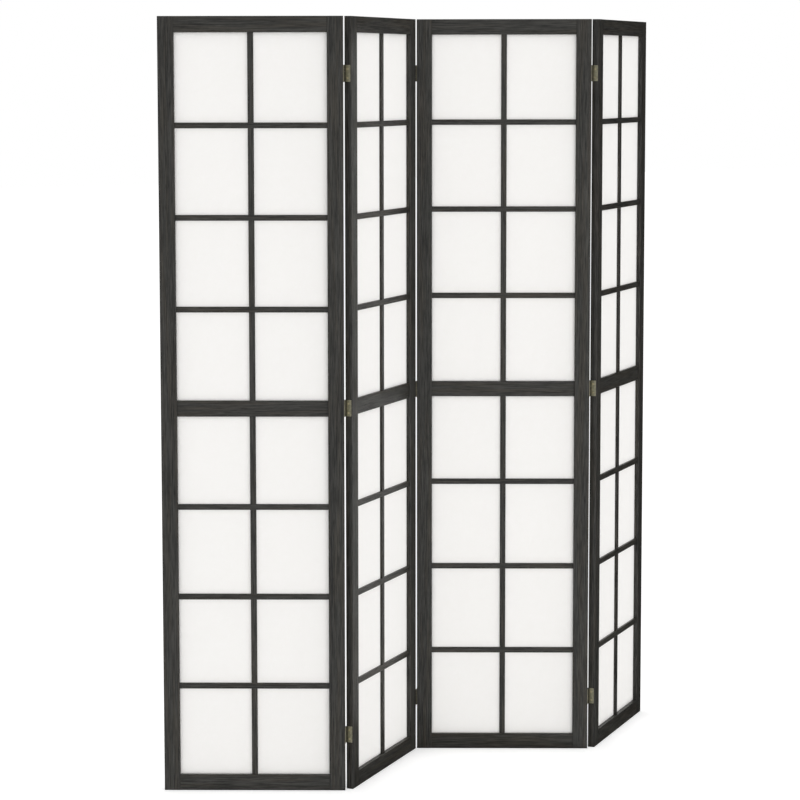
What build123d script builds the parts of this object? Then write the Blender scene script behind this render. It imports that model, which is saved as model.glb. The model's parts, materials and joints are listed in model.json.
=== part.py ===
"""Folding room divider screen: four paper and wood panels joined by butt hinges.

The screen stands folded in a zigzag along X, with its fronts towards -Y. The origin is on the
floor, at the middle of the zigzag. Each panel is modelled in a place of its own: X runs along
the panel from its left edge, Y from its front face to its back, and Z up from the floor.
"""

from build123d import *

import os

# Panel, in millimetres
PANEL_COUNT = 4
PANEL_WIDTH = 400
PANEL_HEIGHT = 1700
PANEL_THICKNESS = 16
FACE_WIDTH = 35  # face of the stiles and the rails
EDGE_ROUND = 1.0
END_CHAMFER = 0.5

# Lattice, paper and beads
ROWS = 4  # panes one above another in each opening
UPRIGHT_FACE = 13
CROSSBAR_FACE = 12.5
LATTICE_SETBACK = 4.5  # front of the lattice and the middle rail behind the front of the stiles
PAPER_DEPTH = 10
PAPER_THICKNESS = 0.4
PAPER_PLAY = 0.4  # paper edge to the wall of the rebate
REBATE_WIDTH = 6
NOTCH_DEPTH = 4  # how far the ends of the lattice bars go into the frame
BEAD_THICKNESS = 5.2
BEAD_ROUND = 1.5
BEAD_END_GAP = 0.2

# Dowels in the joints of the rails and stiles
DOWEL_RADIUS = 3
DOWEL_LENGTH = 36
DOWEL_PITCH = 13
DOWEL_CHAMFER = 0.6
DOWEL_FIT = 0.05

# Hinges
FOLD_ANGLE = 70  # how far each hinge is folded from flat
HINGE_HEIGHT = 36
HINGE_END_DISTANCE = 123  # middle of the outer hinges to the ends of the panel
KNUCKLE_COUNT = 5
KNUCKLE_GAP = 0.3
BARREL_RADIUS = 1.6
EDGE_GAP = 1.5  # barrel's axis to the edge of the panel
AXIS_OVERHANG = 0.25  # barrel's axis beyond the face that the hinge folds towards
LEAF_REACH = 14.25  # barrel's axis to the free edge of a leaf
LEAF_THICKNESS = 0.9
LEAF_ROUND = 1.2
KNUCKLE_RELIEF = 0.4
PIN_RADIUS = 0.8
PIN_FIT = 0.05
PIN_HEAD_RADIUS = 1.3
PIN_HEAD_HEIGHT = 0.7
SCREW_PITCH = 20
SCREW_LENGTH = 13
SCREW_RADIUS = 1.2
SCREW_HEAD_RADIUS = 2.3
SCREW_HEAD_HEIGHT = 0.85
SCREW_FIT = 0.05
RECESS_LENGTH = 2.6
RECESS_WIDTH = 0.55
RECESS_DEPTH = 0.6

# Sizes that follow from those above
OPENING_WIDTH = PANEL_WIDTH - 2 * FACE_WIDTH
OPENING_HEIGHT = (PANEL_HEIGHT - 3 * FACE_WIDTH) / 2
OPENING_FLOORS = (FACE_WIDTH, 2 * FACE_WIDTH + OPENING_HEIGHT)
PANE_PITCH = OPENING_HEIGHT / ROWS
CROSSBAR_HEIGHTS = [floor + row * PANE_PITCH for floor in OPENING_FLOORS for row in range(1, ROWS)]
LATTICE_THICKNESS = PAPER_DEPTH - LATTICE_SETBACK
LATTICE_DEPTH = (LATTICE_SETBACK + PAPER_DEPTH) / 2  # middle of the bars
REBATE_DEPTH = PANEL_THICKNESS - PAPER_DEPTH
BEAD_DEPTH = PAPER_DEPTH + PAPER_THICKNESS + BEAD_THICKNESS / 2  # middle of the beads
END_RAIL_DOWELS = (FACE_WIDTH - REBATE_WIDTH) / 2  # from the panel's end to the pair of dowels
DOWEL_PAIRS = (
    (PANEL_THICKNESS / 2, END_RAIL_DOWELS),
    ((LATTICE_SETBACK + PANEL_THICKNESS) / 2, PANEL_HEIGHT / 2),
    (PANEL_THICKNESS / 2, PANEL_HEIGHT - END_RAIL_DOWELS),
)
HINGE_HEIGHTS = (HINGE_END_DISTANCE, PANEL_HEIGHT / 2, PANEL_HEIGHT - HINGE_END_DISTANCE)
SCREW_HEIGHTS = [middle + step for middle in HINGE_HEIGHTS for step in (-SCREW_PITCH / 2, SCREW_PITCH / 2)]
KNUCKLE_PITCH = HINGE_HEIGHT / KNUCKLE_COUNT
PLATE_START = BARREL_RADIUS + KNUCKLE_RELIEF  # barrel's axis to the flat plate of a leaf
PLATE_WIDTH = LEAF_REACH - PLATE_START


def folds_back(line):
    """Every other hinge line folds its two panels back to back, and the rest front to front."""
    return line % 2 == 0


def axis_depth(line):
    """Depth of a hinge line's axis, from the front of the panels beside it."""
    return PANEL_THICKNESS + AXIS_OVERHANG if folds_back(line) else -AXIS_OVERHANG


def leaf_way(line):
    """Way that the leaves run from their barrel, along the depth of the panel."""
    return -1 if folds_back(line) else 1


def panel_places():
    """Fold the panels about their hinges, and centre the zigzag on the origin."""
    places = [Location((0, 0, 0), (0, 0, -FOLD_ANGLE / 2))]
    for line in range(PANEL_COUNT - 1):
        turn = FOLD_ANGLE if folds_back(line) else -FOLD_ANGLE
        axis = Location((PANEL_WIDTH + EDGE_GAP, axis_depth(line), 0), (0, 0, turn))
        next_corner = Location((EDGE_GAP, -axis_depth(line), 0))
        places.append(places[-1] * axis * next_corner)
    corners = [
        (place * Location((x, y, 0))).position
        for place in places
        for x in (0, PANEL_WIDTH)
        for y in (0, PANEL_THICKNESS)
    ]
    middle_x = (min(c.X for c in corners) + max(c.X for c in corners)) / 2
    middle_y = (min(c.Y for c in corners) + max(c.Y for c in corners)) / 2
    return [Plane(Location((-middle_x, -middle_y, 0)) * place) for place in places]


def edge_screws(place, edge, outward, line, height):
    """Places of a hinge line's screws on one edge, pointing out, at a height above the edge."""
    depth = axis_depth(line) + leaf_way(line) * (PLATE_START + LEAF_REACH) / 2
    x = edge + outward * height
    return [place * Plane((x, depth, z), x_dir=(0, 1, 0), z_dir=(outward, 0, 0)) for z in SCREW_HEIGHTS]


def make_stile(place, outward, line):
    """Upright frame member, with outward -1 for the left and 1 for the right one.

    Its inner face is rebated for the paper, notched for the crossbars and drilled for dowels.
    Where a hinge line is given, its outer edge has pilot holes for the screws.
    """
    edge = PANEL_WIDTH if outward > 0 else 0
    inner_face = place * Plane.YZ.offset(edge - outward * FACE_WIDTH)
    with BuildPart() as stile:
        with BuildSketch(place * Plane.XY):
            with Locations((edge - outward * FACE_WIDTH / 2, PANEL_THICKNESS / 2)):
                RectangleRounded(FACE_WIDTH, PANEL_THICKNESS, EDGE_ROUND)
        extrude(amount=PANEL_HEIGHT)
        ends = stile.faces().filter_by(Axis.Z)
        chamfer(ends.edges(), length=END_CHAMFER)
        with BuildSketch(inner_face):
            for floor in OPENING_FLOORS:
                with Locations((PANEL_THICKNESS - REBATE_DEPTH / 2, floor + OPENING_HEIGHT / 2)):
                    Rectangle(REBATE_DEPTH, OPENING_HEIGHT + 2 * REBATE_WIDTH)
        extrude(amount=outward * REBATE_WIDTH, mode=Mode.SUBTRACT)
        with BuildSketch(inner_face):
            with Locations(*[(LATTICE_DEPTH, height) for height in CROSSBAR_HEIGHTS]):
                Rectangle(LATTICE_THICKNESS, CROSSBAR_FACE)
        extrude(amount=outward * NOTCH_DEPTH, mode=Mode.SUBTRACT)
        with BuildSketch(inner_face):
            with Locations(*DOWEL_PAIRS):
                with GridLocations(0, DOWEL_PITCH, 1, 2):
                    Circle(DOWEL_RADIUS)
        extrude(amount=outward * (DOWEL_LENGTH + 1) / 2, mode=Mode.SUBTRACT)
        if line is not None:
            with Locations(*edge_screws(place, edge, outward, line, 0)):
                Hole(SCREW_RADIUS + SCREW_FIT, depth=SCREW_LENGTH)
    return stile


def make_rail(place, middle, front, opening_sides, dowels):
    """Frame member between the stiles, at a height given by its middle.

    Each side that faces an opening (1 above, -1 below) is rebated for the paper, and both ends are
    drilled for dowels. A rail that stands proud of the lattice is notched for the uprights, which
    end flush against any other rail.
    """
    left_end = place * Plane.YZ.offset(FACE_WIDTH)
    right_end = place * Plane.YZ.offset(PANEL_WIDTH - FACE_WIDTH)
    with BuildPart() as rail:
        with BuildSketch(left_end):
            with Locations(((front + PANEL_THICKNESS) / 2, middle)):
                RectangleRounded(PANEL_THICKNESS - front, FACE_WIDTH, EDGE_ROUND)
        extrude(amount=OPENING_WIDTH)
        for side in opening_sides:
            opening_edge = middle + side * FACE_WIDTH / 2
            rebate_middle = opening_edge - side * REBATE_WIDTH / 2
            with BuildSketch(left_end):
                with Locations((PANEL_THICKNESS - REBATE_DEPTH / 2, rebate_middle)):
                    Rectangle(REBATE_DEPTH, REBATE_WIDTH)
            extrude(amount=OPENING_WIDTH, mode=Mode.SUBTRACT)
            if front < LATTICE_SETBACK:
                with BuildSketch(place * Plane.XY.offset(opening_edge)):
                    with Locations((PANEL_WIDTH / 2, LATTICE_DEPTH)):
                        Rectangle(UPRIGHT_FACE, LATTICE_THICKNESS)
                extrude(amount=-side * NOTCH_DEPTH, mode=Mode.SUBTRACT)
        for end, inward in ((left_end, 1), (right_end, -1)):
            with BuildSketch(end):
                with Locations(dowels):
                    with GridLocations(0, DOWEL_PITCH, 1, 2):
                        Circle(DOWEL_RADIUS)
            extrude(amount=inward * (DOWEL_LENGTH + 1) / 2, mode=Mode.SUBTRACT)
    return rail


def make_uprights(place):
    """Upright lattice bar of each opening, from the middle rail into the notch of an end rail.

    Its front half is cut away where the crossbars pass.
    """
    with BuildPart() as uprights:
        for foot in (OPENING_FLOORS[0] - NOTCH_DEPTH, OPENING_FLOORS[1]):
            with BuildSketch(place * Plane.XY.offset(foot)):
                with Locations((PANEL_WIDTH / 2, LATTICE_DEPTH)):
                    Rectangle(UPRIGHT_FACE, LATTICE_THICKNESS)
            extrude(amount=OPENING_HEIGHT + NOTCH_DEPTH)
        with BuildSketch(place * Plane.XZ.offset(-LATTICE_SETBACK)):
            with Locations(*[(PANEL_WIDTH / 2, height) for height in CROSSBAR_HEIGHTS]):
                Rectangle(UPRIGHT_FACE, CROSSBAR_FACE)
        extrude(amount=-LATTICE_THICKNESS / 2, mode=Mode.SUBTRACT)
    return uprights


def make_crossbars(place):
    """Crossbars of both openings, their back half cut away where the uprights pass."""
    with BuildPart() as crossbars:
        with BuildSketch(place * Plane.YZ.offset(FACE_WIDTH - NOTCH_DEPTH)):
            with Locations(*[(LATTICE_DEPTH, height) for height in CROSSBAR_HEIGHTS]):
                Rectangle(LATTICE_THICKNESS, CROSSBAR_FACE)
        extrude(amount=OPENING_WIDTH + 2 * NOTCH_DEPTH)
        with BuildSketch(place * Plane.XZ.offset(-PAPER_DEPTH)):
            with Locations(*[(PANEL_WIDTH / 2, height) for height in CROSSBAR_HEIGHTS]):
                Rectangle(UPRIGHT_FACE, CROSSBAR_FACE)
        extrude(amount=LATTICE_THICKNESS / 2, mode=Mode.SUBTRACT)
    return crossbars


def make_sheet(place, floor):
    """Paper of one opening, flat against the back of the lattice and the rebate."""
    spread = 2 * (REBATE_WIDTH - PAPER_PLAY)
    with BuildPart() as sheet:
        with BuildSketch(place * Plane.XZ.offset(-PAPER_DEPTH)):
            with Locations((PANEL_WIDTH / 2, floor + OPENING_HEIGHT / 2)):
                Rectangle(OPENING_WIDTH + spread, OPENING_HEIGHT + spread)
        extrude(amount=-PAPER_THICKNESS)
    return sheet


def make_beads(place):
    """Strips that hold the paper in its rebates: two uprights and two crosswise to an opening."""
    with BuildPart() as beads:
        for floor in OPENING_FLOORS:
            for side in (-1, 1):
                x = PANEL_WIDTH / 2 + side * (OPENING_WIDTH + REBATE_WIDTH) / 2
                with BuildSketch(place * Plane.XY.offset(floor - REBATE_WIDTH)):
                    with Locations((x, BEAD_DEPTH)):
                        section = Rectangle(REBATE_WIDTH, BEAD_THICKNESS)
                    back_corners = section.vertices().group_by(Axis.Y)[-1]
                    fillet(back_corners.sort_by(Axis.X)[0 if side > 0 else -1], radius=BEAD_ROUND)
                extrude(amount=OPENING_HEIGHT + 2 * REBATE_WIDTH)
                z = floor + OPENING_HEIGHT / 2 + side * (OPENING_HEIGHT + REBATE_WIDTH) / 2
                with BuildSketch(place * Plane.YZ.offset(FACE_WIDTH + BEAD_END_GAP)):
                    with Locations((BEAD_DEPTH, z)):
                        section = Rectangle(BEAD_THICKNESS, REBATE_WIDTH)
                    back_corners = section.vertices().group_by(Axis.X)[-1]
                    fillet(back_corners.sort_by(Axis.Y)[0 if side > 0 else -1], radius=BEAD_ROUND)
                extrude(amount=OPENING_WIDTH - 2 * BEAD_END_GAP)
    return beads


def make_dowels(place):
    """Dowels half in the rails and half in the stiles."""
    with BuildPart() as dowels:
        for joint in (FACE_WIDTH, PANEL_WIDTH - FACE_WIDTH):
            with BuildSketch(place * Plane.YZ.offset(joint - DOWEL_LENGTH / 2)):
                with Locations(*DOWEL_PAIRS):
                    with GridLocations(0, DOWEL_PITCH, 1, 2):
                        Circle(DOWEL_RADIUS - DOWEL_FIT)
            extrude(amount=DOWEL_LENGTH)
        chamfer(dowels.edges().filter_by(GeomType.CIRCLE), length=DOWEL_CHAMFER)
    return dowels


def make_leaves(place, edge, outward, line, knuckles):
    """Hinge leaves on one edge of a panel, with the knuckles that they carry of each barrel."""
    way = leaf_way(line)
    axis = (edge + outward * EDGE_GAP, axis_depth(line))
    plate_x = edge + outward * LEAF_THICKNESS / 2
    bore = PIN_RADIUS + PIN_FIT
    with BuildPart() as leaves:
        for middle in HINGE_HEIGHTS:
            foot = middle - HINGE_HEIGHT / 2
            with BuildSketch(place * Plane.YZ.offset(edge)):
                with Locations((axis[1] + way * (PLATE_START + LEAF_REACH) / 2, middle)):
                    plate = Rectangle(PLATE_WIDTH, HINGE_HEIGHT)
                free_corners = plate.vertices().group_by(Axis.X)[-1 if way > 0 else 0]
                fillet(free_corners, radius=LEAF_ROUND)
            extrude(amount=outward * LEAF_THICKNESS)
            for knuckle in knuckles:
                level = foot + knuckle * KNUCKLE_PITCH + KNUCKLE_GAP / 2
                with BuildSketch(place * Plane.XY.offset(level)):
                    with Locations(axis):
                        Circle(BARREL_RADIUS)
                    with Locations((plate_x, axis[1] + way * PLATE_START / 2)):
                        Rectangle(LEAF_THICKNESS, PLATE_START)
                    with Locations(axis):
                        Circle(bore, mode=Mode.SUBTRACT)
                extrude(amount=KNUCKLE_PITCH - KNUCKLE_GAP)
        with Locations(*edge_screws(place, edge, outward, line, LEAF_THICKNESS)):
            CounterSinkHole(
                radius=SCREW_HEAD_RADIUS - SCREW_HEAD_HEIGHT + SCREW_FIT,
                counter_sink_radius=SCREW_HEAD_RADIUS + SCREW_FIT,
                depth=LEAF_THICKNESS,
                counter_sink_angle=90,
            )
    return leaves


def make_pins(place, line):
    """Pin of each hinge, with a low head at both ends of the barrel."""
    axis = (PANEL_WIDTH + EDGE_GAP, axis_depth(line))
    barrel = HINGE_HEIGHT - KNUCKLE_GAP
    with BuildPart() as pins:
        for middle in HINGE_HEIGHTS:
            with BuildSketch(place * Plane.XY.offset(middle - barrel / 2)):
                with Locations(axis):
                    Circle(PIN_RADIUS)
            extrude(amount=barrel)
            for side in (-1, 1):
                with BuildSketch(place * Plane.XY.offset(middle + side * barrel / 2)):
                    with Locations(axis):
                        Circle(PIN_HEAD_RADIUS)
                extrude(amount=side * PIN_HEAD_HEIGHT)
                crown = pins.faces(Select.LAST).sort_by(Axis.Z)[-1 if side > 0 else 0]
                fillet(crown.edges(), radius=PIN_HEAD_HEIGHT / 2)
    return pins


def make_screws(place, edge, outward, line):
    """Countersunk wood screws of the leaves on one edge, with a cross recess in the head."""
    heads = edge_screws(place, edge, outward, line, LEAF_THICKNESS)
    necks = edge_screws(place, edge, outward, line, LEAF_THICKNESS - SCREW_HEAD_HEIGHT)
    with BuildPart() as screws:
        with Locations(*heads):
            Cone(
                bottom_radius=SCREW_HEAD_RADIUS - SCREW_HEAD_HEIGHT,
                top_radius=SCREW_HEAD_RADIUS,
                height=SCREW_HEAD_HEIGHT,
                align=(Align.CENTER, Align.CENTER, Align.MAX),
            )
        with Locations(*necks):
            Cylinder(
                radius=SCREW_RADIUS,
                height=SCREW_LENGTH - SCREW_HEAD_HEIGHT,
                align=(Align.CENTER, Align.CENTER, Align.MAX),
            )
        with Locations(*heads):
            for length, width in ((RECESS_LENGTH, RECESS_WIDTH), (RECESS_WIDTH, RECESS_LENGTH)):
                Box(length, width, 2 * RECESS_DEPTH, mode=Mode.SUBTRACT)
    return screws


def save(piece, name):
    """Label a finished piece and write it as one file."""
    piece.part.label = name
    export_step(piece.part, f"parts/{name}.step")


os.makedirs("parts", exist_ok=True)
places = panel_places()

# Panels
for index, place in enumerate(places):
    panel = f"panel_{index + 1}"
    left_line = index - 1 if index > 0 else None
    right_line = index if index < PANEL_COUNT - 1 else None
    bottom_dowels, middle_dowels, top_dowels = DOWEL_PAIRS
    save(make_stile(place, -1, left_line), f"{panel}_left_stile")
    save(make_stile(place, 1, right_line), f"{panel}_right_stile")
    save(make_rail(place, FACE_WIDTH / 2, 0, (1,), bottom_dowels), f"{panel}_bottom_rail")
    save(make_rail(place, PANEL_HEIGHT / 2, LATTICE_SETBACK, (-1, 1), middle_dowels), f"{panel}_middle_rail")
    save(make_rail(place, PANEL_HEIGHT - FACE_WIDTH / 2, 0, (-1,), top_dowels), f"{panel}_top_rail")
    save(make_uprights(place), f"{panel}_lattice_uprights")
    save(make_crossbars(place), f"{panel}_lattice_crossbars")
    save(make_sheet(place, OPENING_FLOORS[0]), f"{panel}_lower_paper")
    save(make_sheet(place, OPENING_FLOORS[1]), f"{panel}_upper_paper")
    save(make_beads(place), f"{panel}_retaining_beads")
    save(make_dowels(place), f"{panel}_dowels")

# Hinges: the left panel of each line carries every other knuckle, from the lowest, and the pins
for line in range(PANEL_COUNT - 1):
    hinges = f"hinges_{line + 1}_{line + 2}"
    left_place, right_place = places[line], places[line + 1]
    save(make_leaves(left_place, PANEL_WIDTH, 1, line, range(0, KNUCKLE_COUNT, 2)), f"{hinges}_left_leaves")
    save(make_leaves(right_place, 0, -1, line, range(1, KNUCKLE_COUNT, 2)), f"{hinges}_right_leaves")
    save(make_pins(left_place, line), f"{hinges}_pins")
    save(make_screws(left_place, PANEL_WIDTH, 1, line), f"{hinges}_left_screws")
    save(make_screws(right_place, 0, -1, line), f"{hinges}_right_screws")
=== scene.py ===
"""Folding screen of stained wood and paper: the looks of its pieces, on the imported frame.

Everything is in metres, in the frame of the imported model. Each panel has axes of its own, as
in the part's source: x runs along the panel from its left edge, y from front to back, z up.
"""

import json
import math

import bpy
from mathutils import Euler, Matrix, Vector, noise


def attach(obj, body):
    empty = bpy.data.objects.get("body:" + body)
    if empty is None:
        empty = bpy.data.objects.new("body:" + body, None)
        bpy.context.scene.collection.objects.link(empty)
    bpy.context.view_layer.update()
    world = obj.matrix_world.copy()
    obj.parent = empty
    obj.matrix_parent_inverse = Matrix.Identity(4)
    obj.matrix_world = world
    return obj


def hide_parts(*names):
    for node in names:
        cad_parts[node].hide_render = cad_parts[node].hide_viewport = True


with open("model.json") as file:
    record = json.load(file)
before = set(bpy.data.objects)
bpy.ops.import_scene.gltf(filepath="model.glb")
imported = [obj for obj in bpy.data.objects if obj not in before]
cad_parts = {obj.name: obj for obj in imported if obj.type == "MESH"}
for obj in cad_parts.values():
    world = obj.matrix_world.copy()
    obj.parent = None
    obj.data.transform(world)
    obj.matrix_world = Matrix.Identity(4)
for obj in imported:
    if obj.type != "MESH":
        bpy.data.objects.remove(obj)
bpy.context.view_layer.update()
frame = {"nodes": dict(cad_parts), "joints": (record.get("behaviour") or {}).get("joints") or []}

# Sizes of the panels
PANEL_COUNT = 4
PANEL_WIDTH = 0.400
PANEL_HEIGHT = 1.700
PANEL_THICKNESS = 0.016
FACE_WIDTH = 0.035
OPENING_WIDTH = PANEL_WIDTH - 2 * FACE_WIDTH
OPENING_HEIGHT = (PANEL_HEIGHT - 3 * FACE_WIDTH) / 2
OPENING_FLOORS = {"lower": FACE_WIDTH, "upper": 2 * FACE_WIDTH + OPENING_HEIGHT}
HALF_FOLD = math.radians(35)  # turn of each panel from the line of the row
HINGE_GAP = 0.0015  # hinge axis to the edge of a panel
HINGE_OVERHANG = 0.00025  # hinge axis beyond the face that the hinge folds towards

# Paper, stretched behind the lattice and held in a rebate round each opening
PANE_COLUMNS = 2
PANE_ROWS = 4
PAPER_MARGIN = 0.0056  # paper in the rebate, past the edge of the opening
PAPER_SIZE = (OPENING_WIDTH + 2 * PAPER_MARGIN, OPENING_HEIGHT + 2 * PAPER_MARGIN)
PAPER_FRONT = 0.01002  # behind the front of the panel
PAPER_THICKNESS = 0.0003
PAPER_CELL = 0.0085  # squares of the paper's mesh
BAR_WIDTH = 0.013
BILLOW = 0.0005  # how far the middle of a pane hangs back, at the most
BILLOW_USUAL = 0.7  # share of it in the usual pane
BILLOW_SPREAD = 0.3  # how far other panes differ from that
COCKLE = 0.0003  # waves in the paper
COCKLE_LENGTH = 0.05
COCKLE_UPRIGHT = 0.6  # waves up the sheet for each one across it
PANE_STEP = (3.7, 5.1)  # keeps the slack of one pane from the next one's
SHEET_STEP = 9.7  # keeps the waves of one sheet from the next one's
FIBRE_STEP = 0.41  # and its fibres

# Brads through the beads behind the paper
REBATE_WIDTH = 0.006
BEAD_BACK = 0.0156  # behind the front of the panel
BEAD_ROUND = 0.0015  # rounded corner of a bead
BRAD_PITCH = 0.105
BRAD_INSET = 0.022  # first brad to the end of its bead
BRAD_RADIUS = 0.0011
BRAD_HEIGHT = 0.0003
BRAD_WANDER = 0.006  # how far a brad strays along its bead
BRAD_SEED = 4
BRAD_SEGMENTS = 10
BRAD_RINGS = 6

# Steps that keep the grain of one piece from the next one's
PANEL_STEP = 11.3
CROSSWISE_STEP = 4.9
BEAD_STEP = 8.2

# Camera, lamp, floor and cards
CAMERA_PLACE = (-3.63230, -5.13797, 1.57287)
CAMERA_HEADING = math.radians(34.239)
CAMERA_DIP = math.radians(6.289)
CAMERA_ROLL = math.radians(0.069)
CAMERA_LENS = 124.680
CAMERA_SHIFT = (0.00717, -0.02428)  # the picture's middle beside the lens's, in picture widths
SENSOR_WIDTH = 36.0
LAMP_PLACE = (0.1, -3.2, 0.55)
LAMP_AIM = (0.0, 0.0, 0.5)
LAMP_SIZE = 1.0
LAMP_POWER = 20.0
SKY_LIGHT = 0.82
FLOOR_HALF = 30.0
FLOOR_GREY = 0.90
FLOOR_GLOW = 0.40  # makes the unshaded floor white to the eye, and lights nothing
CARD_GREY = 0.03
CARD_RIGHT = 0.95  # the standing card, to the right of the screen
CARD_FRONT = -0.60
CARD_BACK = 0.90
CARD_HEIGHT = 2.20
LYING_LEFT = -0.36  # the lying card, on the floor up to the standing one
LYING_FRONT = -0.13
LYING_BACK = 0.40
LYING_HEIGHT = 0.0005


def panel_place(number):
    """A panel's own axes in the row frame, from the hinge beside it."""
    turn = HALF_FOLD if number % 2 == 0 else -HALF_FOLD
    line = min(number, PANEL_COUNT - 1)
    axis = Vector(frame["joints"][line - 1]["pos_m"]) * Vector((1, 1, 0))
    x = PANEL_WIDTH + HINGE_GAP if line == number else -HINGE_GAP
    y = -HINGE_OVERHANG if line % 2 == 0 else PANEL_THICKNESS + HINGE_OVERHANG
    turned = Matrix.Rotation(turn, 4, "Z")
    return Matrix.Translation(axis - turned @ Vector((x, y, 0))) @ turned


# How a finish is written

CORNER_RANGE = (0.01, 0.2)  # turn of the surface's direction where a corner starts and is full
CORNER_SAMPLES = 4


class Reading:
    """A socket that can be used in sums: each operator adds a Math node to the finish."""

    def __init__(self, finish, socket):
        self.finish = finish
        self.socket = socket

    def sum(self, operation, *values):
        return self.finish.node("Math", {"operation": operation}, dict(enumerate(values)))

    def __add__(self, other):
        return self.sum("ADD", self, other)

    def __sub__(self, other):
        return self.sum("SUBTRACT", self, other)

    def __rsub__(self, other):
        return self.sum("SUBTRACT", other, self)

    def __mul__(self, other):
        return self.sum("MULTIPLY", self, other)

    def __pow__(self, other):
        return self.sum("POWER", self, other)

    def __abs__(self):
        return self.sum("ABSOLUTE", self)

    __radd__ = __add__
    __rmul__ = __mul__

    def fraction(self):
        return self.sum("FRACT", self)

    def larger(self, other):
        return self.sum("MAXIMUM", self, other)

    def past(self, limit):
        """1 where the reading is over the limit, and 0 elsewhere."""
        return self.sum("GREATER_THAN", self, limit)

    def between(self, low, high):
        """0 up to low, 1 from high on, and a soft step from one to the other."""
        sockets = {"Value": self, "From Min": low, "From Max": high}
        return self.finish.node("MapRange", {"interpolation_type": "SMOOTHSTEP"}, sockets)

    def split(self):
        """The three numbers of a vector."""
        first = self.finish.node("SeparateXYZ", {}, {"Vector": self})
        return [Reading(self.finish, socket) for socket in first.socket.node.outputs]


class Finish:
    """The nodes of one material or of the world, written as expressions on its readings."""

    def __init__(self, owner):
        owner.use_nodes = True
        self.owner = owner
        self.tree = owner.node_tree
        self.tree.nodes.clear()

    def node(self, kind, settings, sockets, output=0):
        """Add a node with its settings, then the values or links of its sockets."""
        node = self.tree.nodes.new("ShaderNode" + kind)
        for name, value in settings.items():
            setattr(node, name, value)
        for name, value in sockets.items():
            if isinstance(value, Reading):
                self.tree.links.new(value.socket, node.inputs[name])
            else:
                node.inputs[name].default_value = value
        return Reading(self, node.outputs[output]) if node.outputs else None

    def vector(self, x, y, z):
        return self.node("CombineXYZ", {}, {"X": x, "Y": y, "Z": z})

    def noise(self, point, detail=2.0, roughness=0.5):
        """Noise from 0 to 1, with lumps about one unit of the point across."""
        sockets = {"Vector": point, "Scale": 1.0, "Detail": detail, "Roughness": roughness}
        return self.node("TexNoise", {}, sockets)

    def mix(self, share, first, second):
        """A colour between two colours."""
        return self.node("Mix", {"data_type": "RGBA"}, {0: share, 6: first, 7: second}, 2)

    def row_point(self, scale):
        """The point on the piece in the row frame, times a scale."""
        point = self.node("TexCoord", {}, {}, "Object")
        return self.node("VectorMath", {"operation": "SCALE"}, {0: point, "Scale": scale})

    def panel_point(self, place):
        """The point on the piece along a panel's own axes, as three numbers."""
        sockets = {"Vector": self.node("TexCoord", {}, {}, "Object")}
        sockets |= {"Location": place.to_translation(), "Rotation": place.to_euler()}
        return self.node("Mapping", {"vector_type": "TEXTURE"}, sockets).split()

    def rounded(self, radius):
        """The surface's direction with its corners rounded off, and how near a corner is."""
        soft = self.node("Bevel", {"samples": CORNER_SAMPLES}, {"Radius": radius}, "Normal")
        flat = self.node("NewGeometry", {}, {}, "True Normal")
        same = self.node("VectorMath", {"operation": "DOT_PRODUCT"}, {0: soft, 1: flat}, "Value")
        return soft, (1 - same).between(*CORNER_RANGE)

    def show(self, shader, kind="OutputMaterial"):
        """Show this shader, and give the finished material or world."""
        self.node(kind, {}, {"Surface": shader})
        return self.owner


def rgb(red, green, blue):
    return (red, green, blue, 1.0)


# Wood: its colours, and its marks, which are noise drawn out along the grain

WOOD_SHADE = rgb(0.0050, 0.0050, 0.0047)
WOOD_LIGHT = rgb(0.066, 0.0644, 0.0585)
# The worn colours below are rubbed wear at the corners, and also a painted sheen on the rounded edges
WOOD_WORN_AND_SHEEN = rgb(0.125, 0.108, 0.085)
BARE_SHADE = rgb(0.40, 0.27, 0.15)
BARE_LIGHT = rgb(0.62, 0.46, 0.29)
BARE_WORN_AND_SHEEN = rgb(0.68, 0.55, 0.38)
WARM_TINT = (1.06, 0.99, 0.91)  # times the light colour, in its warmer parts
WARM_RANGE = (0.42, 0.64)
WANDER_ALONG = 2.5  # bends of the grain to a metre, along it and across it
WANDER_ACROSS = 14
WANDER_REACH = 0.003  # how far the grain strays
BROAD_MARKS = {"length": 0.35, "width": 0.016, "step": 0.0, "detail": 2}
STREAK_MARKS = {"length": 0.055, "width": 0.0026, "step": 3.1, "detail": 3, "roughness": 0.6}
PORE_MARKS = {"length": 0.016, "width": 0.0007, "step": 7.7, "detail": 1}
THREAD_MARKS = {"length": 0.045, "width": 0.0004, "step": 5.9, "detail": 1}
WARM_MARKS = {"length": 0.20, "width": 0.010, "step": 1.7, "detail": 2}
STREAK_RANGE = (0.28, 0.72)  # noise from which a mark shows, and at which it is full
PORE_RANGE = (0.56, 0.70)
RINGS_TO_METRE = 260
RING_SLANT = 0.45  # how far the rings lean through the thickness
RING_BEND = 3  # how many rings the broad marks shift them by
RING_EDGE = 3  # power that keeps each ring's dark to its late side
PORES_LOST = 0.5  # share of the pores that the late wood closes
STREAK_STAIN = 0.56  # how far each kind of mark lightens or darkens the stain
BROAD_STAIN = 0.52
THREAD_STAIN = 0.30
RING_STAIN = 0.20
PORE_STAIN = 0.20
WOOD_CORNER = 0.0010
WEAR_AND_SHEEN = 0.55  # share of the lighter corner colour, part rubbed wear and part a painted sheen on the rounded edge
WEAR_SHEEN_PATCHES = 90  # to a metre
WEAR_SHEEN_DETAIL = 3
WEAR_SHEEN_ROUGHNESS = 0.6
WEAR_SHEEN_RANGE = (0.46, 0.66)
STREAK_RISE = 0.4  # how far each kind of mark stands up or sinks
PORE_SINK = 0.8
RING_SINK = 0.35
WOOD_RELIEF = 0.0003
WOOD_RELIEF_SHARE = 0.35
WOOD_SHINE = 0.05
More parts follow.
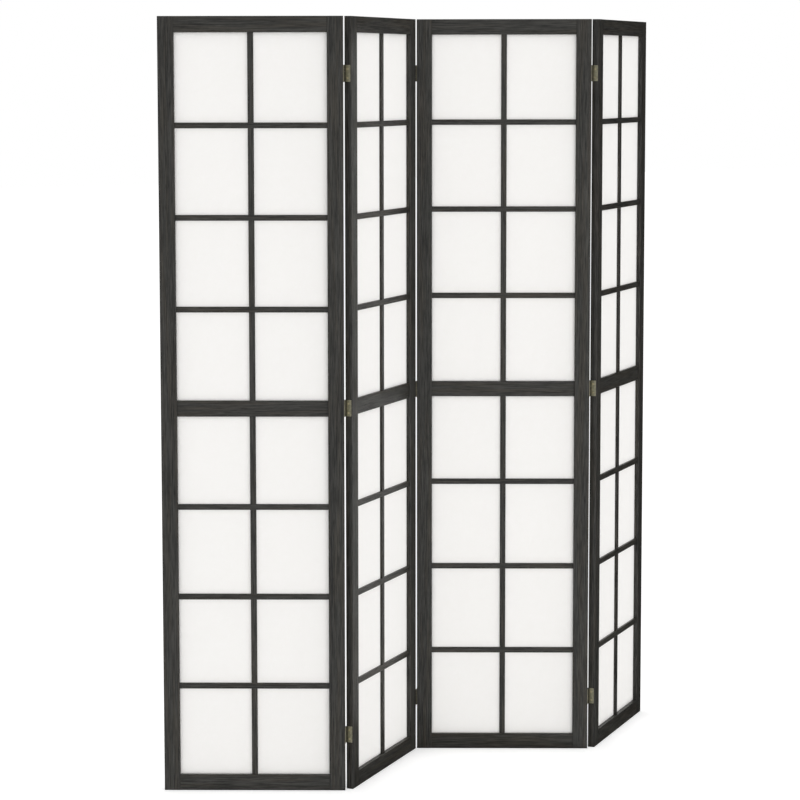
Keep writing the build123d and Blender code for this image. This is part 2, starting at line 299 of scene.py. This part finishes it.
WOOD_DULLNESS = 0.46  # and what each kind of mark adds to it or takes off
PORE_DULLNESS = 0.2
BROAD_DULLNESS = 0.12
WEAR_POLISH = 0.12
LACQUER = 0.34  # thin lacquer over the stain, broken at the pores
LACQUER_LOST = 0.6  # share of it that the pores break
LACQUER_DULLNESS = 0.27


def wood(name, place, run, seed, bare=False):
    """Straight-grained wood. run is the way of its grain: upright, crosswise or around an opening."""
    shade, light, worn_and_sheen = WOOD_SHADE, WOOD_LIGHT, WOOD_WORN_AND_SHEEN
    if bare:
        shade, light, worn_and_sheen = BARE_SHADE, BARE_LIGHT, BARE_WORN_AND_SHEEN
    finish = Finish(bpy.data.materials.new(name))
    x, y, z = finish.panel_point(place)
    if run == "upright":
        along, across = z, x
    elif run == "crosswise":
        along, across = x, z
    else:
        upright = abs(x - PANEL_WIDTH / 2).past(OPENING_WIDTH / 2 - BEAD_ROUND)
        along = x + (z - x) * upright
        across = z + (x - z) * upright
    bends = finish.vector(along * WANDER_ALONG, across * WANDER_ACROSS, y * WANDER_ACROSS + seed)
    side = across + (finish.noise(bends) - 0.5) * WANDER_REACH

    def grain(length, width, step, detail, roughness=0.5):
        """Noise drawn out along the grain, with marks of this length and width."""
        point = finish.vector(along * (1 / length), side * (1 / width), y * (1 / width) + (seed + step))
        return finish.noise(point, detail, roughness)

    broad = grain(**BROAD_MARKS)
    streak = grain(**STREAK_MARKS)
    hair = grain(**PORE_MARKS)
    thread = grain(**THREAD_MARKS) - 0.5
    ring = ((side + y * RING_SLANT) * RINGS_TO_METRE + broad * RING_BEND + seed).fraction() ** RING_EDGE
    pore = hair.between(*PORE_RANGE) * (1 - PORES_LOST * ring)
    stain = streak.between(*STREAK_RANGE) * STREAK_STAIN + broad * BROAD_STAIN + thread * THREAD_STAIN
    stain = stain - ring * RING_STAIN - pore * PORE_STAIN
    soft, corner = finish.rounded(WOOD_CORNER)
    # Wear and painted sheen: the corners are lightened in patches, partly as rubbed wear and partly as a
    # painted sheen on the rounded edges
    patches = finish.noise(finish.row_point(WEAR_SHEEN_PATCHES), WEAR_SHEEN_DETAIL, WEAR_SHEEN_ROUGHNESS)
    wear_and_sheen = corner * patches.between(*WEAR_SHEEN_RANGE) * WEAR_AND_SHEEN
    warm = rgb(*(part * tint for part, tint in zip(light, WARM_TINT)))
    light = finish.mix(grain(**WARM_MARKS).between(*WARM_RANGE), light, warm)
    height = streak * STREAK_RISE - pore * PORE_SINK - ring * RING_SINK
    relief = {"Height": height, "Distance": WOOD_RELIEF, "Strength": WOOD_RELIEF_SHARE, "Normal": soft}
    shader = {
        "Base Color": finish.mix(wear_and_sheen, finish.mix(stain, shade, light), worn_and_sheen),
        "Roughness": WOOD_DULLNESS + pore * PORE_DULLNESS + broad * BROAD_DULLNESS - wear_and_sheen * WEAR_POLISH,
        "Specular IOR Level": WOOD_SHINE,
        "Normal": finish.node("Bump", {}, relief),
    }
    if not bare:
        shader |= {"Coat Weight": LACQUER * (1 - pore * LACQUER_LOST), "Coat Roughness": LACQUER_DULLNESS}
    return finish.show(finish.node("BsdfPrincipled", {}, shader))


# Paper: its colours and its fibres, which lie every way in layers

PAPER_WHITE = rgb(0.966, 0.959, 0.949)
PAPER_THIN = rgb(0.956, 0.949, 0.938)
PAPER_FIBRE = rgb(0.992, 0.990, 0.985)
PAPER_THROUGH = 0.62  # share of the light that passes the paper
FIBRE_LAYERS = 5
FIBRE_TURN = 0.2  # turn of the first layer
FIBRE_ALONG = 45  # fibres to a metre, end to end and side by side
FIBRE_ASIDE = 1500
FIBRE_BENDS = 28  # to a metre
FIBRE_BEND = 0.012
LAYER_STEP = 5.3
FIBRE_DETAIL = 1
FIBRE_RANGE = (0.66, 0.76)
FIBRE_SHARE = 0.85
CLOUDS = 60  # to a metre
CLOUD_STEP = 2.0
CLOUD_DETAIL = 4
CLOUD_ROUGHNESS = 0.6
CLOUD_RANGE = (0.3, 0.72)
CLOUD_RISE = 0.8
PAPER_RELIEF = 0.0001
PAPER_RELIEF_SHARE = 0.3
PAPER_SHINE = 0.2
PAPER_DULLNESS = 0.72
FIBRE_POLISH = 0.14


def paper(name):
    """Handmade paper: cloudy, with long soft fibres lying every way, and a little light through it."""
    finish = Finish(bpy.data.materials.new(name))
    across, up, _ = finish.node("UVMap", {"uv_map": "paper"}, {}).split()
    bend = finish.noise(finish.vector(across * FIBRE_BENDS, up * FIBRE_BENDS, 0.0)) - 0.5
    fibres = None
    for layer in range(FIBRE_LAYERS):
        turn = math.pi * layer / FIBRE_LAYERS + FIBRE_TURN
        along = across * math.cos(turn) + up * math.sin(turn)
        aside = up * math.cos(turn) - across * math.sin(turn) + bend * FIBRE_BEND
        point = finish.vector(along * FIBRE_ALONG, aside * FIBRE_ASIDE, LAYER_STEP * layer)
        strand = finish.noise(point, FIBRE_DETAIL).between(*FIBRE_RANGE)
        fibres = strand if fibres is None else fibres.larger(strand)
    point = finish.vector(across * CLOUDS, up * CLOUDS, CLOUD_STEP)
    cloud = finish.noise(point, CLOUD_DETAIL, CLOUD_ROUGHNESS)
    sheet = finish.mix(cloud.between(*CLOUD_RANGE), PAPER_THIN, PAPER_WHITE)
    colour = finish.mix(fibres * FIBRE_SHARE, sheet, PAPER_FIBRE)
    height = fibres + cloud * CLOUD_RISE
    relief = {"Height": height, "Distance": PAPER_RELIEF, "Strength": PAPER_RELIEF_SHARE}
    shader = {
        "Base Color": colour,
        "Roughness": PAPER_DULLNESS - fibres * FIBRE_POLISH,
        "Specular IOR Level": PAPER_SHINE,
        "Normal": finish.node("Bump", {}, relief),
    }
    front = finish.node("BsdfPrincipled", {}, shader)
    through = finish.node("BsdfTranslucent", {}, {"Color": colour})
    return finish.show(finish.node("MixShader", {}, {0: PAPER_THROUGH, 1: front, 2: through}))


# Brass: its colours, and its patches, specks and brush marks

BRASS_CLEAN = rgb(0.275, 0.262, 0.190)
BRASS_DULL = rgb(0.200, 0.190, 0.136)
BRASS_DARK = rgb(0.042, 0.038, 0.028)
BRASS_RUBBED = rgb(0.42, 0.38, 0.27)
SCREW_CLEAN = rgb(0.50, 0.44, 0.28)
SCREW_DULL = rgb(0.30, 0.27, 0.17)
BRASS_CORNER = 0.0003
PATCHES = 170  # to a metre
PATCH_DETAIL = 4
PATCH_ROUGHNESS = 0.65
PATCH_RANGE = (0.34, 0.66)
SPECKS = 1100  # to a metre
SPECK_DETAIL = 2
SPECK_RANGE = (0.58, 0.74)
SPECK_SHARE = 0.6
BRUSH_MARKS = (2600, 2600, 130)  # to a metre: fine across and long upright
BRUSH_DETAIL = 1
RUBBED_SHARE = 0.5  # share of the rubbed colour at a corner
BARREL_SHADE = 0.82  # share of the dark colour painted on the barrel as shade
BARREL_SHADE_REACH = (0.0026, 0.0052)  # painted shade up to the first distance from the axis, none from the second
BRUSH_RISE = 0.5
SPECK_SINK = 0.6
BRASS_RELIEF = 0.00008
BRASS_RELIEF_SHARE = 0.3
SPECK_CRUST = 0.35  # share of a speck that isn't metal any more
BRASS_DULLNESS = 0.34
PATCH_DULLNESS = 0.16
SPECK_DULLNESS = 0.2
BRUSH_DULLNESS = 0.08
CORNER_POLISH = 0.1


def brass(name, clean, dull, axis=None):
    """Old brass: brown in patches, specked, rubbed bright at its corners, and with painted shade round an
    axis.
    """
    finish = Finish(bpy.data.materials.new(name))
    patch = finish.noise(finish.row_point(PATCHES), PATCH_DETAIL, PATCH_ROUGHNESS).between(*PATCH_RANGE)
    speck = finish.noise(finish.row_point(SPECKS), SPECK_DETAIL).between(*SPECK_RANGE)
    drawn = {0: finish.row_point(1.0), 1: BRUSH_MARKS}
    brushed = finish.noise(finish.node("VectorMath", {"operation": "MULTIPLY"}, drawn), BRUSH_DETAIL)
    soft, corner = finish.rounded(BRASS_CORNER)
    colour = finish.mix(patch, clean, dull)
    colour = finish.mix(speck * SPECK_SHARE, colour, BRASS_DARK)
    colour = finish.mix(corner * RUBBED_SHARE, colour, BRASS_RUBBED)
    # Painted shade: the hinge barrel is darkened round its axis, where it sits in shade between the
    # panels
    if axis is not None:
        x, y, _ = finish.row_point(1.0).split()
        from_axis = ((x - axis[0]) ** 2 + (y - axis[1]) ** 2) ** 0.5
        colour = finish.mix(BARREL_SHADE - from_axis.between(*BARREL_SHADE_REACH) * BARREL_SHADE, colour, BRASS_DARK)
    height = brushed * BRUSH_RISE - speck * SPECK_SINK
    relief = {"Height": height, "Distance": BRASS_RELIEF, "Strength": BRASS_RELIEF_SHARE, "Normal": soft}
    dullness = BRASS_DULLNESS + patch * PATCH_DULLNESS + speck * SPECK_DULLNESS
    shader = {
        "Base Color": colour,
        "Metallic": 1.0 - speck * SPECK_CRUST,
        "Roughness": dullness + brushed * BRUSH_DULLNESS - corner * CORNER_POLISH,
        "Normal": finish.node("Bump", {}, relief),
    }
    return finish.show(finish.node("BsdfPrincipled", {}, shader))


def dress(node, material):
    """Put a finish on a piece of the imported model."""
    for slot in frame["nodes"][node].material_slots:
        slot.material = material


# Paper sheets

def paper_depth(x, height, number):
    """Depth of the paper's front at a place in an opening: flat on the bars, slack between them."""
    column = x / OPENING_WIDTH * PANE_COLUMNS
    row = height / OPENING_HEIGHT * PANE_ROWS
    if not (0 < column < PANE_COLUMNS and 0 < row < PANE_ROWS):
        return PAPER_FRONT
    pane = Vector((OPENING_WIDTH / PANE_COLUMNS, OPENING_HEIGHT / PANE_ROWS))
    free = 1.0
    for place, size in ((column % 1, pane.x), (row % 1, pane.y)):
        from_bar = min(place, 1 - place) * size - BAR_WIDTH / 2
        free *= math.sin(math.pi / 2 * min(max(from_bar / (size / 2 - BAR_WIDTH / 2), 0), 1))
    spot = Vector((math.floor(column) * PANE_STEP[0], math.floor(row) * PANE_STEP[1], number))
    slack = BILLOW_USUAL + BILLOW_SPREAD * noise.noise(spot)
    spot = Vector((x / COCKLE_LENGTH, height / COCKLE_LENGTH * COCKLE_UPRIGHT, number * SHEET_STEP))
    wave = 0.5 + 0.5 * noise.noise(spot)
    return PAPER_FRONT + BILLOW * slack * free + COCKLE * wave * math.sqrt(free)


def paper_sheet(number, opening, place, material):
    """One sheet of paper behind an opening of a panel."""
    columns, rows = (round(size / PAPER_CELL) for size in PAPER_SIZE)
    seed = number * 2 + (opening == "upper")
    points, faces, spots = [], [], []
    for row in range(rows + 1):
        height = PAPER_SIZE[1] * row / rows - PAPER_MARGIN
        for column in range(columns + 1):
            x = PAPER_SIZE[0] * column / columns - PAPER_MARGIN
            depth = paper_depth(x, height, seed)
            points.append(place @ Vector((FACE_WIDTH + x, depth, OPENING_FLOORS[opening] + height)))
            spots.append((x + seed * FIBRE_STEP, height))
    for row in range(rows):
        for column in range(columns):
            corner = row * (columns + 1) + column
            faces.append((corner, corner + 1, corner + columns + 2, corner + columns + 1))
    name = f"panel_{number}_{opening}_paper_sheet"
    mesh = bpy.data.meshes.new(name)
    mesh.from_pydata(points, [], faces)
    layer = mesh.uv_layers.new(name="paper")
    for loop in mesh.loops:
        layer.data[loop.index].uv = spots[loop.vertex_index]
    mesh.shade_smooth()
    mesh.materials.append(material)
    sheet = bpy.data.objects.new(name, mesh)
    bpy.context.collection.objects.link(sheet)
    solid = sheet.modifiers.new("thickness", "SOLIDIFY")
    solid.thickness = PAPER_THICKNESS
    solid.use_even_offset = True
    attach(sheet, f"panel_{number}")
    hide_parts(f"panel_{number}_{opening}_paper")


# Brads

def brad_tree(material):
    """Geometry nodes: brad heads along the lines that they are given, a pitch apart."""
    tree = bpy.data.node_groups.new("brads_along_beads", "GeometryNodeTree")
    tree.interface.new_socket("Lines", in_out="INPUT", socket_type="NodeSocketGeometry")
    for name in ("Pitch", "Head radius", "Head height", "Wander"):
        tree.interface.new_socket(name, in_out="INPUT", socket_type="NodeSocketFloat")
    tree.interface.new_socket("Seed", in_out="INPUT", socket_type="NodeSocketInt")
    tree.interface.new_socket("Brads", in_out="OUTPUT", socket_type="NodeSocketGeometry")

    def node(kind, settings, sockets, output=0):
        made = tree.nodes.new(kind)
        for name, value in settings.items():
            setattr(made, name, value)
        for name, value in sockets.items():
            if isinstance(value, bpy.types.NodeSocket):
                tree.links.new(value, made.inputs[name])
            else:
                made.inputs[name].default_value = value
        return made.outputs[output] if made.outputs else None

    given = tree.nodes.new("NodeGroupInput").outputs
    lines = node("GeometryNodeMeshToCurve", {}, {"Mesh": given["Lines"]})
    spaced = {"Curve": lines, "Length": given["Pitch"]}
    spots = node("GeometryNodeResampleCurve", {"mode": "LENGTH"}, spaced)
    back = node("ShaderNodeMath", {"operation": "MULTIPLY"}, {0: given["Wander"], 1: -1.0})
    stray = {2: back, 3: given["Wander"], "Seed": given["Seed"]}
    stray = node("FunctionNodeRandomValue", {"data_type": "FLOAT"}, stray, 1)
    way = node("GeometryNodeInputTangent", {}, {})
    step = node("ShaderNodeVectorMath", {"operation": "SCALE"}, {0: way, "Scale": stray})
    spots = node("GeometryNodeSetPosition", {}, {"Geometry": spots, "Offset": step})
    ball = {"Segments": BRAD_SEGMENTS, "Rings": BRAD_RINGS, "Radius": given["Head radius"]}
    ball = node("GeometryNodeMeshUVSphere", {}, ball)
    share = {0: given["Head height"], 1: given["Head radius"]}
    share = node("ShaderNodeMath", {"operation": "DIVIDE"}, share)
    flat = node("ShaderNodeCombineXYZ", {}, {"X": 1.0, "Y": 1.0, "Z": share})
    lying = {"Geometry": ball, "Scale": flat, "Rotation": Euler((math.pi / 2, 0, 0))}
    head = node("GeometryNodeTransform", {}, lying)
    head = node("GeometryNodeSetShadeSmooth", {}, {"Geometry": head})
    heads = node("GeometryNodeInstanceOnPoints", {}, {"Points": spots, "Instance": head})
    heads = node("GeometryNodeRealizeInstances", {}, {"Geometry": heads})
    heads = node("GeometryNodeSetMaterial", {}, {"Geometry": heads, "Material": material})
    node("NodeGroupOutput", {}, {"Brads": heads})
    return tree


def bead_lines():
    """The middle line of each bead's back, in a panel's own axes."""
    left, right = FACE_WIDTH - REBATE_WIDTH / 2, PANEL_WIDTH - FACE_WIDTH + REBATE_WIDTH / 2
    for floor in OPENING_FLOORS.values():
        for x in (left, right):
            for height in (BRAD_INSET, OPENING_HEIGHT - BRAD_INSET):
                yield x, BEAD_BACK, floor + height
        for height in (-REBATE_WIDTH / 2, OPENING_HEIGHT + REBATE_WIDTH / 2):
            for x in (FACE_WIDTH + BRAD_INSET, PANEL_WIDTH - FACE_WIDTH - BRAD_INSET):
                yield x, BEAD_BACK, floor + height


def brads(number, place, tree):
    """The brads of one panel."""
    name = f"panel_{number}_brads"
    points = list(bead_lines())
    lines = bpy.data.meshes.new(name + "_lines")
    lines.from_pydata(points, [(i, i + 1) for i in range(0, len(points), 2)], [])
    guide = bpy.data.objects.new(name + "_lines", lines)
    bpy.context.collection.objects.link(guide)
    maker = guide.modifiers.new("brads", "NODES")
    maker.node_group = tree
    sizes = {"Pitch": BRAD_PITCH, "Head radius": BRAD_RADIUS, "Head height": BRAD_HEIGHT}
    sizes |= {"Wander": BRAD_WANDER, "Seed": BRAD_SEED + number}
    for item in tree.interface.items_tree:
        if item.name in sizes:
            maker[item.identifier] = sizes[item.name]
    made = guide.evaluated_get(bpy.context.evaluated_depsgraph_get())
    mesh = bpy.data.meshes.new_from_object(made)
    mesh.name = name
    mesh.transform(place)
    bpy.data.objects.remove(guide)
    heads = bpy.data.objects.new(name, mesh)
    bpy.context.collection.objects.link(heads)
    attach(heads, f"panel_{number}")


# Putting the finishes and pieces on the frame

white_paper = paper("white_paper")
screw_brass = brass("screw_brass", SCREW_CLEAN, SCREW_DULL)
brad_brass = brass("brad_brass", BRASS_DULL, BRASS_DARK)
brad_nodes = brad_tree(brad_brass)

for number in range(1, PANEL_COUNT + 1):
    panel, place, seed = f"panel_{number}", panel_place(number), number * PANEL_STEP
    upright = wood(f"{panel}_upright_wood", place, "upright", seed)
    crosswise = wood(f"{panel}_crosswise_wood", place, "crosswise", seed + CROSSWISE_STEP)
    around = wood(f"{panel}_bead_wood", place, "around", seed + BEAD_STEP)
    bare = wood(f"{panel}_bare_wood", place, "crosswise", seed, bare=True)
    for piece in ("left_stile", "right_stile", "lattice_uprights"):
        dress(f"{panel}_{piece}", upright)
    for piece in ("bottom_rail", "middle_rail", "top_rail", "lattice_crossbars"):
        dress(f"{panel}_{piece}", crosswise)
    dress(f"{panel}_retaining_beads", around)
    dress(f"{panel}_dowels", bare)
    for opening in OPENING_FLOORS:
        paper_sheet(number, opening, place, white_paper)
    brads(number, place, brad_nodes)

for number in range(1, PANEL_COUNT):
    hinges = f"hinges_{number}_{number + 1}"
    axis = frame["joints"][number - 1]["pos_m"]
    hinge_brass = brass(f"{hinges}_brass", BRASS_CLEAN, BRASS_DULL, axis)
    for piece in ("left_leaves", "right_leaves", "pins"):
        dress(f"{hinges}_{piece}", hinge_brass)
    for piece in ("left_screws", "right_screws"):
        dress(f"{hinges}_{piece}", screw_brass)


# Floor, light and camera

def seen_directly(finish):
    """1 for the eye and for what shiny or clear things show, 0 for light that falls on things."""
    path = finish.node("LightPath", {}, {}).socket.node.outputs
    kinds = [Reading(finish, path[f"Is {kind} Ray"]) for kind in ("Camera", "Glossy", "Transmission")]
    return kinds[0].larger(kinds[1]).larger(kinds[2])


def flat_stage(name, corners, material):
    """Flat sheets around the screen, each from four corners."""
    mesh = bpy.data.meshes.new(name)
    mesh.from_pydata(corners, [], [range(first, first + 4) for first in range(0, len(corners), 4)])
    mesh.materials.append(material)
    sheets = bpy.data.objects.new(name, mesh)
    bpy.context.collection.objects.link(sheets)
    return sheets


def pale_floor():
    """A wide pale floor that looks white and keeps the screen's shadow."""
    finish = Finish(bpy.data.materials.new("pale_floor"))
    plain = finish.node("BsdfDiffuse", {}, {"Color": rgb(FLOOR_GREY, FLOOR_GREY, FLOOR_GREY)})
    glow = finish.node("Emission", {}, {"Color": rgb(1, 1, 1), "Strength": FLOOR_GLOW})
    bright = finish.node("AddShader", {}, {0: plain, 1: glow})
    chosen = finish.node("MixShader", {}, {0: seen_directly(finish), 1: plain, 2: bright})
    ways = ((-1, -1), (1, -1), (1, 1), (-1, 1))
    flat_stage("floor", [(x * FLOOR_HALF, y * FLOOR_HALF, 0) for x, y in ways], finish.show(chosen))


def dark_cards():
    """A dark card standing at the right and one lying beside it. They show only in what shines."""
    finish = Finish(bpy.data.materials.new("dark_card"))
    dark = finish.node("BsdfDiffuse", {}, {"Color": rgb(CARD_GREY, CARD_GREY, CARD_GREY)})
    upright = ((CARD_FRONT, 0), (CARD_BACK, 0), (CARD_BACK, CARD_HEIGHT), (CARD_FRONT, CARD_HEIGHT))
    front = [(x, LYING_FRONT) for x in (LYING_LEFT, CARD_RIGHT)]
    back = [(x, LYING_BACK) for x in (CARD_RIGHT, LYING_LEFT)]
    corners = [(CARD_RIGHT, y, z) for y, z in upright] + [(x, y, LYING_HEIGHT) for x, y in front + back]
    cards = flat_stage("dark_cards", corners, finish.show(dark))
    for way in ("camera", "diffuse", "transmission", "shadow"):
        setattr(cards, f"visible_{way}", False)


def studio_light():
    """Even light from all round, and a soft lamp low at the front."""
    world = bpy.data.worlds.new("studio")
    finish = Finish(world)
    lit = finish.node("Background", {}, {"Color": rgb(1, 1, 1), "Strength": SKY_LIGHT})
    seen = finish.node("Background", {}, {"Color": rgb(1, 1, 1), "Strength": 1.0})
    chosen = finish.node("MixShader", {}, {0: seen_directly(finish), 1: lit, 2: seen})
    bpy.context.scene.world = finish.show(chosen, "OutputWorld")
    lamp = bpy.data.lights.new("soft_lamp", "AREA")
    lamp.shape = "DISK"
    lamp.size = LAMP_SIZE
    lamp.energy = LAMP_POWER
    holder = bpy.data.objects.new("soft_lamp", lamp)
    aim = Vector(LAMP_AIM) - Vector(LAMP_PLACE)
    turn = aim.to_track_quat("-Z", "Y").to_matrix().to_4x4()
    holder.matrix_world = Matrix.Translation(LAMP_PLACE) @ turn
    bpy.context.collection.objects.link(holder)


def photo_camera():
    """The camera at the photograph's angle."""
    camera = bpy.data.cameras.new("camera")
    camera.lens = CAMERA_LENS
    camera.sensor_width = SENSOR_WIDTH
    camera.shift_x, camera.shift_y = CAMERA_SHIFT
    holder = bpy.data.objects.new("camera", camera)
    heading = Matrix.Rotation(-CAMERA_HEADING, 4, "Z")
    dip = Matrix.Rotation(math.pi / 2 - CAMERA_DIP, 4, "X")
    roll = Matrix.Rotation(-CAMERA_ROLL, 4, "Z")
    holder.matrix_world = Matrix.Translation(CAMERA_PLACE) @ heading @ dip @ roll
    bpy.context.collection.objects.link(holder)
    bpy.context.scene.camera = holder


pale_floor()
dark_cards()
studio_light()
photo_camera()
bpy.context.scene.view_settings.view_transform = "Standard"
